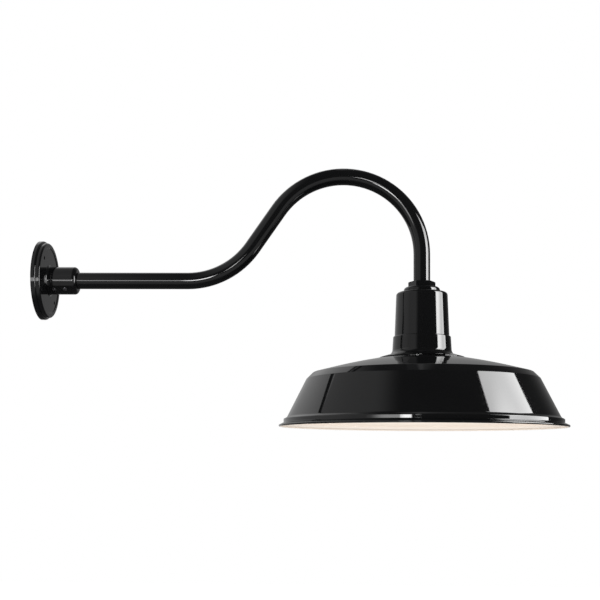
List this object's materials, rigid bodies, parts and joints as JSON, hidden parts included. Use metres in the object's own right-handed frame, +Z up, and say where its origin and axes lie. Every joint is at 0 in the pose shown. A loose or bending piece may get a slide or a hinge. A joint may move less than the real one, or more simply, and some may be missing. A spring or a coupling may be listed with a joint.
{
  "type": "gooseneck wall light",
  "caption": "Gooseneck wall light: round cast wall plate, swan-neck pipe arm, tall socket neck and a wide gloss black spun shade with a white inside.",
  "frame": {"origin": "centre of the two wall-screw holes, on the wall plate's back face", "axes": "+X out of the wall along the straight start of the arm, +Z up"},
  "size_m": [0.8451, 0.4572, 0.4191],
  "materials": {
    "cast_black": "gloss black paint on cast metal",
    "gloss_black": "deep gloss black enamel",
    "shade_enamel": "gloss black outside, white reflector enamel inside",
    "screw_black": "black oxide",
    "ground_green": "green",
    "lead_black": "insulation",
    "lead_white": "insulation",
    "zinc_steel": "zinc plated",
    "porcelain": "white glaze",
    "plated_brass": "nickel plated",
    "bare_brass": "satin",
    "black_glass": "black vitrite",
    "frosted_glass": "frosted"
  },
  "bodies": {
    "wall_mount": {"wall_plate": "cast_black", "collar_set_screws": "screw_black", "ground_screw": "ground_green"},
    "arm_and_head": {"gooseneck_arm": "gloss_black", "live_lead": "lead_black", "neutral_lead": "lead_white", "hex_lock_nut": "gloss_black", "hub": "gloss_black", "socket_neck": "gloss_black", "clamp_nut": "zinc_steel", "fitter_collar": "gloss_black", "shade": "shade_enamel", "socket_bracket": "zinc_steel", "lampholder": "porcelain", "screw_shell": "plated_brass", "centre_contact": "bare_brass", "contact_rivet": "bare_brass", "bracket_screws": "zinc_steel", "terminal_screws": "bare_brass"},
    "lamp": {"lamp_glass": "frosted_glass", "lamp_cap": "plated_brass", "lamp_insulator": "black_glass", "lamp_contact": "bare_brass"}
  },
  "joints": [
    {"name": "arm_turn", "type": "hinge", "parent": "wall_mount", "child": "arm_and_head", "pos_m": [0, 0, 0], "axis": [1, 0, 0], "range_deg": [-90, 90]},
    {"name": "lamp_out", "type": "slide", "parent": "arm_and_head", "child": "lamp", "axis": [0, 0, -1], "range_m": [0, 0.17]}
  ]
}
